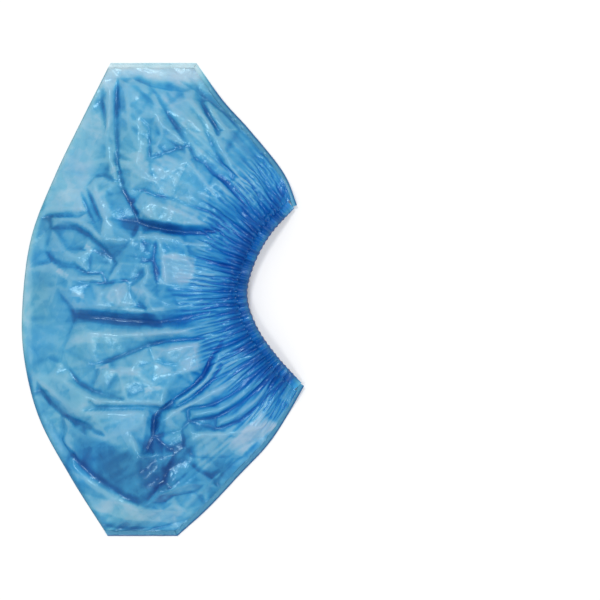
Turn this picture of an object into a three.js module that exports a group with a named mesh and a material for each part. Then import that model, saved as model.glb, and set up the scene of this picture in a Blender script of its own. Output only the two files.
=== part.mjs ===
import * as THREE from 'three';

// Disposable overshoe of thin blue film, lying flat on its side, in millimetres.
// +X points out of the gathered mouth, +Y points to the toe end and +Z points up.
// The origin is under the middle of the cover, on the surface that it lies on.

// The cover as it lies, from end to end and from the sole fold to the mouth's corners
const coverLength = 310;
const coverWidth = 185;

// Film pouch: its wall, the height of its middle, how far the layers take to part from the
// sole fold and from the ends, and how round that rise is (1 is an even S, less is fuller)
const filmWall = 1.4;
const pouchHeight = 21;
const foldRise = 52;
const endRise = 40;
const domePower = 0.7;

// Elastic strips in the two hems of the mouth, and the gap between the relaxed hems
const elasticWidth = 4.4;
const elasticThick = 1.2;
const elasticClearance = 0.3;
const hemWall = 1;
const mouthGap = 6.5;

// Gathers that the elastic pulls into the film: their number, height at the mouth, length
// and how soon they fade, and the ruffle that they leave in the hem
const pleatCount = 24;
const pleatHeight = 1.1;
const pleatReach = 95;
const pleatFade = 1.5;
const hemRuffle = 0.35;

// Welded edges at the toe and the heel
const weldWidth = 3.5;
const weldThick = 2.2;

// Flat tab at each corner of the mouth, between the weld's edge and the first gather
const tabLength = 9;

// Share of its length over which a crease, or the gap between the hems, fades at each end
const endFade = 0.2;

// Gap that separate pieces keep from each other
const pieceGap = 0.3;

// Sizes that follow from the ones above
const hemWidth = elasticWidth + 2 * (elasticClearance + hemWall);
const hemThick = elasticThick + 2 * (elasticClearance + hemWall);
const edgeThick = 2 * filmWall;
const weldInset = weldWidth + pieceGap;
const hemInset = hemWidth + pieceGap;

// Steps of the faceted film: two columns for each pleat, some of them on the blunt ends.
// A weld rises to the hems over the last cornerSteps of its seam.
const columns = 2 * pleatCount;
const bluntColumns = 4;
const foldColumns = columns - 2 * bluntColumns;
const rows = 15;
const cornerSteps = 3;

// Outline of the cover seen from above. x is a share of coverWidth and y of coverLength.
const heelSeam = [
  { x: 0.051, y: -0.5 },
  { x: 0.157, y: -0.443 },
  { x: 0.274, y: -0.369 },
  { x: 0.373, y: -0.306 },
  { x: 0.443, y: -0.243 },
  { x: 0.5, y: -0.182 },
];
const mouthEdge = [
  { x: 0.5, y: -0.182 },
  { x: 0.401, y: -0.117 },
  { x: 0.33, y: -0.054 },
  { x: 0.299, y: 0.009 },
  { x: 0.323, y: 0.073 },
  { x: 0.38, y: 0.136 },
  { x: 0.475, y: 0.199 },
];
const toeSeam = [
  { x: 0.475, y: 0.199 },
  { x: 0.433, y: 0.262 },
  { x: 0.309, y: 0.357 },
  { x: 0.214, y: 0.42 },
  { x: 0.118, y: 0.5 },
];
const toeBluntEnd = [
  { x: 0.118, y: 0.5 },
  { x: -0.186, y: 0.5 },
];
const soleFold = [
  { x: -0.186, y: 0.5 },
  { x: -0.281, y: 0.388 },
  { x: -0.383, y: 0.262 },
  { x: -0.465, y: 0.136 },
  { x: -0.496, y: 0.009 },
  { x: -0.496, y: -0.106 },
  { x: -0.444, y: -0.243 },
  { x: -0.334, y: -0.369 },
  { x: -0.196, y: -0.5 },
];
const heelBluntEnd = [
  { x: -0.196, y: -0.5 },
  { x: 0.051, y: -0.5 },
];

// Main folds of the upper layer, each a straight crease from one point to another.
// The places are shares as in the outline, rise is a share of pouchHeight (a valley is
// negative) and half is the fold's half width as a share of coverWidth.
const upperFolds = [
  { x1: -0.17, y1: 0.46, x2: -0.13, y2: 0.27, rise: -0.12, half: 0.05 },
  { x1: -0.03, y1: 0.46, x2: 0.27, y2: 0.21, rise: -0.13, half: 0.05 },
  { x1: 0.06, y1: 0.46, x2: 0.37, y2: 0.22, rise: 0.12, half: 0.05 },
  { x1: -0.24, y1: 0.25, x2: -0.12, y2: 0.13, rise: 0.14, half: 0.05 },
  { x1: -0.11, y1: 0.22, x2: -0.03, y2: 0.15, rise: -0.2, half: 0.05 },
  { x1: -0.03, y1: 0.15, x2: 0.26, y2: 0.13, rise: -0.16, half: 0.05 },
  { x1: -0.42, y1: 0.18, x2: -0.2, y2: 0.17, rise: -0.1, half: 0.04 },
  { x1: -0.02, y1: 0.08, x2: 0.2, y2: 0.06, rise: 0.16, half: 0.06 },
  { x1: -0.28, y1: -0.04, x2: 0.26, y2: -0.03, rise: -0.17, half: 0.05 },
  { x1: -0.24, y1: -0.1, x2: 0.12, y2: -0.08, rise: 0.14, half: 0.06 },
  { x1: -0.22, y1: -0.15, x2: 0.2, y2: -0.06, rise: -0.12, half: 0.04 },
  { x1: -0.45, y1: -0.17, x2: -0.25, y2: -0.24, rise: 0.12, half: 0.04 },
  { x1: -0.25, y1: -0.2, x2: 0.1, y2: -0.21, rise: 0.12, half: 0.05 },
  { x1: 0.32, y1: -0.12, x2: -0.04, y2: -0.24, rise: -0.2, half: 0.05 },
  { x1: -0.04, y1: -0.24, x2: -0.09, y2: -0.34, rise: -0.16, half: 0.05 },
  { x1: 0.1, y1: -0.26, x2: 0.3, y2: -0.31, rise: 0.14, half: 0.07 },
  { x1: -0.34, y1: -0.3, x2: -0.14, y2: -0.42, rise: -0.12, half: 0.05 },
  { x1: -0.14, y1: -0.42, x2: 0.06, y2: -0.44, rise: -0.12, half: 0.04 },
];

// Creases of the layer underneath, which rise from the surface between the flat places
const lowerFolds = [
  { x1: -0.42, y1: 0.14, x2: -0.2, y2: 0.22, rise: 0.08, half: 0.05 },
  { x1: -0.14, y1: 0.4, x2: 0.12, y2: 0.26, rise: 0.09, half: 0.05 },
  { x1: 0.04, y1: 0.36, x2: 0.3, y2: 0.2, rise: 0.08, half: 0.04 },
  { x1: -0.36, y1: -0.14, x2: -0.1, y2: -0.2, rise: 0.09, half: 0.05 },
  { x1: 0.26, y1: -0.14, x2: 0.02, y2: -0.28, rise: 0.1, half: 0.05 },
  { x1: -0.2, y1: -0.38, x2: 0.08, y2: -0.4, rise: 0.08, half: 0.05 },
];

// Colours of the film, of the gathered film over the elastic and of the welds
const materials = {
  film: new THREE.MeshStandardMaterial({ color: 0x5fa8d8, roughness: 0.3, metalness: 0 }),
  hem: new THREE.MeshStandardMaterial({ color: 0x1458b8, roughness: 0.4, metalness: 0 }),
  elastic: new THREE.MeshStandardMaterial({ color: 0xd8e4ee, roughness: 0.8, metalness: 0 }),
  weld: new THREE.MeshStandardMaterial({ color: 0x3f86bd, roughness: 0.35, metalness: 0 }),
};

const smooth = (value) => THREE.MathUtils.smoothstep(value, 0, 1);

// Points along one stretch of the outline, without its last point. They lie at even steps,
// apart from a first and a last step of endLength where that is given.
function stretch(table, steps, insetKind, endLength) {
  const knots = table.map((k) => new THREE.Vector3(k.x * coverWidth, k.y * coverLength, 0));
  const curve = new THREE.CatmullRomCurve3(knots, false, 'centripetal');
  const endShare = endLength ? endLength / curve.getLength() : 1 / steps;
  return Array.from({ length: steps }, (_, i) => {
    const share = i === 0 ? 0 : endShare + ((1 - 2 * endShare) * (i - 1)) / (steps - 2);
    const p = curve.getPointAt(share);
    return { x: p.x, y: p.y, insetKind };
  });
}

// The whole outline anticlockwise from the heel seam's start. insetKind says what borders
// the edge that leaves each point: a weld, the mouth's hem or the bare sole fold.
const outline = [
  ...stretch(heelSeam, rows, 'weld'),
  ...stretch(mouthEdge, columns, 'mouth', tabLength),
  ...stretch(toeSeam, rows, 'weld'),
  ...stretch(toeBluntEnd, bluntColumns, 'weld'),
  ...stretch(soleFold, foldColumns, 'fold'),
  ...stretch(heelBluntEnd, bluntColumns, 'weld'),
];

// The outline moved inwards, by one distance along the welds and another along the mouth
function insetOutline(weldDistance, mouthDistance) {
  const distances = { weld: weldDistance, mouth: mouthDistance, fold: 0 };
  const count = outline.length;
  const edges = outline.map((p, i) => {
    const next = outline[(i + 1) % count];
    const length = Math.hypot(next.x - p.x, next.y - p.y);
    const normal = { x: -(next.y - p.y) / length, y: (next.x - p.x) / length };
    const offset = normal.x * p.x + normal.y * p.y + distances[p.insetKind];
    return { normal, offset, distance: distances[p.insetKind] };
  });
  return outline.map((p, i) => {
    const a = edges[(i + count - 1) % count];
    const b = edges[i];
    const sine = a.normal.x * b.normal.y - a.normal.y * b.normal.x;
    if (a.distance === b.distance) {
      const scale = b.distance / (1 + a.normal.x * b.normal.x + a.normal.y * b.normal.y);
      return {
        x: p.x + (a.normal.x + b.normal.x) * scale,
        y: p.y + (a.normal.y + b.normal.y) * scale,
      };
    }
    return {
      x: (a.offset * b.normal.y - b.offset * a.normal.y) / sine,
      y: (b.offset * a.normal.x - a.offset * b.normal.x) / sine,
    };
  });
}

// Where each stretch starts in the outline
const mouthStart = rows;
const toeSeamStart = mouthStart + columns;
const toeCorner = toeSeamStart + rows;

// The mouth's points from heel to toe, its two end points included
function mouthPoints(weldDistance, mouthDistance) {
  return insetOutline(weldDistance, mouthDistance).slice(mouthStart, toeSeamStart + 1);
}

// Plan of the film pouch as a grid of points [column][row]. Columns run from the heel to
// the toe, rows from the sole fold to the mouth, and the four edges are blended inwards.
function pouchPlan() {
  const edge = insetOutline(weldInset, hemInset);
  const at = (i) => edge[(i + edge.length) % edge.length];
  const foldPoint = (c) => at(-c);
  const mouthPoint = (c) => at(mouthStart + c);
  const heelPoint = (r) => at(r);
  const toePoint = (r) => at(toeCorner - r);
  const plan = [];
  for (let c = 0; c <= columns; c++) {
    const s = c / columns;
    plan.push([]);
    for (let r = 0; r <= rows; r++) {
      const t = r / rows;
      const blend = (axis) =>
        (1 - t) * foldPoint(c)[axis] + t * mouthPoint(c)[axis] +
        (1 - s) * heelPoint(r)[axis] + s * toePoint(r)[axis] -
        (1 - s) * ((1 - t) * heelPoint(0)[axis] + t * heelPoint(rows)[axis]) -
        s * ((1 - t) * toePoint(0)[axis] + t * toePoint(rows)[axis]);
      plan[c].push({ x: blend('x'), y: blend('y') });
    }
  }
  return plan;
}

// Height that the listed folds add at a point, each one fading out towards its ends
function foldRelief(folds, x, y) {
  let relief = 0;
  for (const fold of folds) {
    const startX = fold.x1 * coverWidth;
    const startY = fold.y1 * coverLength;
    const alongX = fold.x2 * coverWidth - startX;
    const alongY = fold.y2 * coverLength - startY;
    const length = Math.hypot(alongX, alongY);
    const share = ((x - startX) * alongX + (y - startY) * alongY) / length ** 2;
    const side = Math.abs((x - startX) * alongY - (y - startY) * alongX) / length;
    const across = Math.max(0, 1 - side / (fold.half * coverWidth));
    const along = smooth(share / endFade) * smooth((1 - share) / endFade);
    relief += fold.rise * pouchHeight * across * along;
  }
  return relief;
}

// Free height between the two hems: closed at the mouth's corners and widest in between
function openingAt(s) {
  const parted = smooth(s / endFade) * smooth((1 - s) / endFade);
  return pieceGap + (mouthGap - pieceGap) * parted;
}

// Underside of the upper hem, above the lower hem and the free height
const upperHemBase = (s) => hemThick + openingAt(s);

// Gathers: alternate columns stand high and low, most at the mouth and none further in
function pleat(c, distanceToMouth) {
  const strength = Math.max(0, 1 - distanceToMouth / pleatReach) ** pleatFade;
  return (c % 2 ? 1 : -1) * pleatHeight * strength;
}

// Heights of the film's outer faces over the plan, and of its inner faces one wall inside
function pouchHeights(plan) {
  const distance = (a, b) => Math.hypot(a.x - b.x, a.y - b.y);
  return plan.map((column, c) =>
    column.map((p, r) => {
      const s = c / columns;
      const toMouth = distance(p, column[rows]);
      const toFold = distance(p, column[0]);
      const toEnd = Math.min(distance(p, plan[0][r]), distance(p, plan[columns][r]));
      const parted = (smooth(toEnd / endRise) * smooth(toFold / foldRise)) ** domePower;
      const rimTop = upperHemBase(s) + (hemThick + filmWall) / 2;
      const crown = THREE.MathUtils.lerp(pouchHeight, rimTop, smooth(1 - toMouth / foldRise));
      const nearRim = smooth(1 - toMouth / (2 * hemWidth));
      const domed = edgeThick + filmWall + (crown - edgeThick - filmWall) * parted;
      const body = THREE.MathUtils.lerp(domed, rimTop, nearRim);
      const bends = parted * (1 - nearRim);
      const upper = body + pleat(c, toMouth) + bends * foldRelief(upperFolds, p.x, p.y);
      const lower =
        bends * foldRelief(lowerFolds, p.x, p.y) +
        Math.max(0, pleat(c, toMouth)) * (1 - smooth(toMouth / pleatReach));
      return { upper, lower };
    })
  );
}

// A closed mesh from a list of points and triangles
function meshOf(name, material, positions, triangles) {
  const geometry = new THREE.BufferGeometry();
  geometry.setAttribute('position', new THREE.Float32BufferAttribute(positions, 3));
  geometry.setIndex(triangles);
  geometry.computeVertexNormals();
  const mesh = new THREE.Mesh(geometry, material);
  mesh.name = name;
  return mesh;
}

// The film pouch: an outer skin over the whole grid, and an inner skin one step inside it
// whose layers meet at the fold and at the ends and stay open at the mouth.
function filmPouch() {
  const plan = pouchPlan();
  const heights = pouchHeights(plan);
  const positions = [];
  const triangles = [];
  const addPoint = (c, r, z) => positions.push(plan[c][r].x, plan[c][r].y, z) / 3 - 1;
  const quad = (a, b, c, d) => triangles.push(a, b, c, a, c, d);
  const onRim = (c, r) => c === 0 || c === columns || r === 0;
  const onSeam = (c, r) => c === 1 || c === columns - 1 || r === 1;

  const outerUp = plan.map((column, c) =>
    column.map((_, r) => addPoint(c, r, onRim(c, r) ? edgeThick : heights[c][r].upper))
  );
  const outerLow = plan.map((column, c) =>
    column.map((_, r) => addPoint(c, r, onRim(c, r) ? 0 : heights[c][r].lower))
  );
  const innerUp = plan.map(() => []);
  const innerLow = plan.map(() => []);
  for (let c = 1; c < columns; c++) {
    for (let r = 1; r <= rows; r++) {
      const { upper, lower } = heights[c][r];
      if (onSeam(c, r)) {
        innerUp[c][r] = addPoint(c, r, (upper + lower) / 2);
        innerLow[c][r] = innerUp[c][r];
      } else {
        innerUp[c][r] = addPoint(c, r, upper - filmWall);
        innerLow[c][r] = addPoint(c, r, lower + filmWall);
      }
    }
  }

  // One cell of a skin, cut along the diagonal that runs away from the nearer end
  const cell = (skin, c, r, facesUp) => {
    const ring = [skin[c][r], skin[c + 1][r], skin[c + 1][r + 1], skin[c][r + 1]];
    if (c >= columns / 2) ring.push(ring.shift());
    quad(...(facesUp ? ring : [ring[0], ring[3], ring[2], ring[1]]));
  };
  for (let c = 0; c < columns; c++) {
    for (let r = 0; r < rows; r++) {
      cell(outerUp, c, r, false);
      cell(outerLow, c, r, true);
      if (c > 0 && c < columns - 1 && r > 0) {
        cell(innerUp, c, r, true);
        cell(innerLow, c, r, false);
      }
    }
  }

  // Edge faces along the fold, the two ends and the two lips of the mouth
  for (let c = 0; c < columns; c++) {
    quad(outerLow[c][0], outerUp[c][0], outerUp[c + 1][0], outerLow[c + 1][0]);
  }
  for (let r = 0; r < rows; r++) {
    quad(outerLow[0][r], outerLow[0][r + 1], outerUp[0][r + 1], outerUp[0][r]);
    quad(outerLow[columns][r], outerUp[columns][r], outerUp[columns][r + 1], outerLow[columns][r + 1]);
  }
  for (let c = 1; c < columns - 1; c++) {
    quad(outerUp[c][rows], innerUp[c][rows], innerUp[c + 1][rows], outerUp[c + 1][rows]);
    quad(outerLow[c][rows], outerLow[c + 1][rows], innerLow[c + 1][rows], innerLow[c][rows]);
  }
  for (const [end, next, flip] of [[0, 1, false], [columns, columns - 1, true]]) {
    const corner = innerUp[next][rows];
    const ring = [outerLow[end][rows], outerLow[next][rows], corner];
    const cap = [outerUp[end][rows], outerLow[end][rows], corner];
    const top = [outerUp[next][rows], outerUp[end][rows], corner];
    for (const [a, b, d] of [ring, cap, top]) {
      triangles.push(...(flip ? [a, d, b] : [a, b, d]));
    }
  }
  return meshOf('film_pouch', materials.film, positions, triangles);
}

// A solid swept through cross sections, each a closed ring of points in the same order.
// The first and last rings are closed by flat ends.
function sweptSolid(name, material, sections) {
  const sides = sections[0].length;
  const positions = sections.flat(2);
  const triangles = [];
  for (let i = 0; i < sections.length - 1; i++) {
    for (let k = 0; k < sides; k++) {
      const a = i * sides + k;
      const b = i * sides + ((k + 1) % sides);
      triangles.push(a, b + sides, b, a, a + sides, b + sides);
    }
  }
  const last = (sections.length - 1) * sides;
  for (let k = 1; k < sides - 1; k++) {
    triangles.push(0, k, k + 1, last, last + k + 1, last + k);
  }
  return meshOf(name, material, positions, triangles);
}

// A rectangle from the outer line to the inner line of a strip, between two heights
function rectangle(outer, inner, low, high) {
  return [
    [outer.x, outer.y, low],
    [outer.x, outer.y, high],
    [inner.x, inner.y, high],
    [inner.x, inner.y, low],
  ];
}

// One hem of the mouth: film folded round the elastic, as a ruffled tube open at its ends
function hem(name, baseAt) {
  const lines = {
    outer: mouthPoints(weldInset, 0),
    outerWall: mouthPoints(weldInset, hemWall),
    innerWall: mouthPoints(weldInset, hemWidth - hemWall),
    inner: mouthPoints(weldInset, hemWidth),
  };
  const positions = [];
  const triangles = [];
  const sides = 4;
  for (let c = 0; c <= columns; c++) {
    const base = baseAt(c / columns);
    const ruffle = c % 2 ? hemRuffle : 0;
    const skin = rectangle(lines.outer[c], lines.inner[c], base + ruffle, base + hemThick + ruffle);
    const channel = rectangle(
      lines.outerWall[c], lines.innerWall[c],
      base + hemWall + hemRuffle / 2, base + hemThick - hemWall + hemRuffle / 2
    );
    positions.push(...skin.flat(), ...channel.flat());
  }
  const ring = (c, k) => c * 2 * sides + (k % sides);
  const bore = (c, k) => ring(c, k) + sides;
  const quad = (a, b, c, d) => triangles.push(a, b, c, a, c, d);
  for (let k = 0; k < sides; k++) {
    for (let c = 0; c < columns; c++) {
      quad(ring(c, k + 1), ring(c, k), ring(c + 1, k), ring(c + 1, k + 1));
      quad(bore(c, k), bore(c, k + 1), bore(c + 1, k + 1), bore(c + 1, k));
    }
    quad(ring(0, k), ring(0, k + 1), bore(0, k + 1), bore(0, k));
    quad(ring(columns, k + 1), ring(columns, k), bore(columns, k), bore(columns, k + 1));
  }
  return meshOf(name, materials.hem, positions, triangles);
}

// One elastic strip, centred in the channel of its hem
function elastic(name, baseAt) {
  const inset = hemWall + elasticClearance;
  const outer = mouthPoints(weldInset, inset);
  const inner = mouthPoints(weldInset, inset + elasticWidth);
  const sections = outer.map((p, c) => {
    const low = baseAt(c / columns) + inset + hemRuffle / 2;
    return rectangle(p, inner[c], low, low + elasticThick);
  });
  return sweptSolid(name, materials.elastic, sections);
}

// One welded end: a strip along the blunt end and the seam, up to the corner of the mouth,
// where it grows as high as the two hems whose ends it holds
function weld(name, first, last, mouthIndex) {
  const outer = insetOutline(0, 0);
  const inner = insetOutline(weldWidth, 0);
  const sections = [];
  for (let i = first; i <= last; i++) {
    const k = (i + outline.length) % outline.length;
    const stepsToMouth = Math.abs(i - mouthIndex);
    const cornerRise = smooth(1 - stepsToMouth / cornerSteps);
    const top = THREE.MathUtils.lerp(weldThick, hemThick * 2 + pieceGap, cornerRise);
    sections.push(rectangle(inner[k], outer[k], 0, top));
  }
  return sweptSolid(name, materials.weld, sections.reverse());
}

const lowerHemBase = () => 0;

const cover = new THREE.Group();
cover.add(
  filmPouch(),
  hem('hem_upper', upperHemBase),
  hem('hem_lower', lowerHemBase),
  elastic('elastic_upper', upperHemBase),
  elastic('elastic_lower', lowerHemBase),
  weld('toe_weld', toeSeamStart, toeCorner + bluntColumns, toeSeamStart),
  weld('heel_weld', -bluntColumns, mouthStart, mouthStart)
);

export default cover;
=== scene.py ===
# A disposable overshoe of thin blue film, lying flat on its side, seen from straight above.
# Metres, +X out of the gathered mouth, +Y to the toe end, +Z up from the surface it lies on.
import math
from collections import namedtuple

import bpy
import numpy as np
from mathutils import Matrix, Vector, geometry


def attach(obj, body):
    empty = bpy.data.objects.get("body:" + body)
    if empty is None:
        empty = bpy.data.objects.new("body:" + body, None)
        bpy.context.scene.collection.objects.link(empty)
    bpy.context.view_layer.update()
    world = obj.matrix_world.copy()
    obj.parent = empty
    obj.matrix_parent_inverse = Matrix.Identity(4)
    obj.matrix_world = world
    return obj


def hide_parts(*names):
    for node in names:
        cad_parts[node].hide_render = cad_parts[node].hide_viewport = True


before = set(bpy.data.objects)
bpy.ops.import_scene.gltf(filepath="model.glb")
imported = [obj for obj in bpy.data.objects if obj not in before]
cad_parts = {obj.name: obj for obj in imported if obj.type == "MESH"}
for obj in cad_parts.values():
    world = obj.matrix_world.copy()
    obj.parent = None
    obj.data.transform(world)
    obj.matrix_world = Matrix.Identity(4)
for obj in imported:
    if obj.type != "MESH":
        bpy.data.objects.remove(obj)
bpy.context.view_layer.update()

MM = 0.001

# Sizes of the cover as it lies
LENGTH = 310 * MM
WIDTH = 185 * MM
WELD_WIDTH = 3.5 * MM
HEM_WIDTH = 7.0 * MM
HEM_THICK = 3.8 * MM
HEM_GAP = 0.3 * MM
MOUTH_GAP = 6.5 * MM
ELASTIC_WIDTH = 4.4 * MM
ELASTIC_THICK = 0.8 * MM

# How far the film reaches under its hems and welds
LAP = 1 * MM

# The blank that the film was cut to, between its end welds and from the fold to the hem
BLANK_LENGTH = 400 * MM
BLANK_DEPTH = 151 * MM

# The puffed form of the upper layer
POUCH_HEIGHT = 19 * MM
FOLD_RISE = 52 * MM
END_RISE = 40 * MM
DOME_POWER = 0.7
EDGE_HEIGHT = 0.9 * MM
TAB_HEIGHT = 3.95 * MM
LAYER_GAP = 0.8 * MM
LOWEST = 0.15 * MM

# The most thicknesses of film that the colours tell apart
DEEPEST = 6.0

# Steps of the film grid at its coarsest, doubled twice
COARSE_COLUMNS = 96
COARSE_ROWS = 50

# Outline of the cover from above, x as a share of WIDTH and y as a share of LENGTH
HEEL_SEAM = (
    (0.051, -0.5), (0.157, -0.443), (0.274, -0.369), (0.373, -0.306), (0.443, -0.243), (0.5, -0.182),
)
MOUTH_EDGE = (
    (0.5, -0.182), (0.401, -0.117), (0.33, -0.054), (0.299, 0.009), (0.323, 0.073), (0.38, 0.136),
    (0.475, 0.199),
)
TOE_SEAM = ((0.475, 0.199), (0.433, 0.262), (0.309, 0.357), (0.214, 0.42), (0.118, 0.5))
TOE_BLUNT_END = ((0.118, 0.5), (-0.186, 0.5))
SOLE_FOLD = (
    (-0.186, 0.5), (-0.281, 0.388), (-0.383, 0.262), (-0.465, 0.136), (-0.496, 0.009),
    (-0.496, -0.106), (-0.444, -0.243), (-0.334, -0.369), (-0.196, -0.5),
)
HEEL_BLUNT_END = ((-0.196, -0.5), (0.051, -0.5))
OUTLINE = (HEEL_SEAM, MOUTH_EDGE, TOE_SEAM, TOE_BLUNT_END, SOLE_FOLD, HEEL_BLUNT_END)

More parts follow.
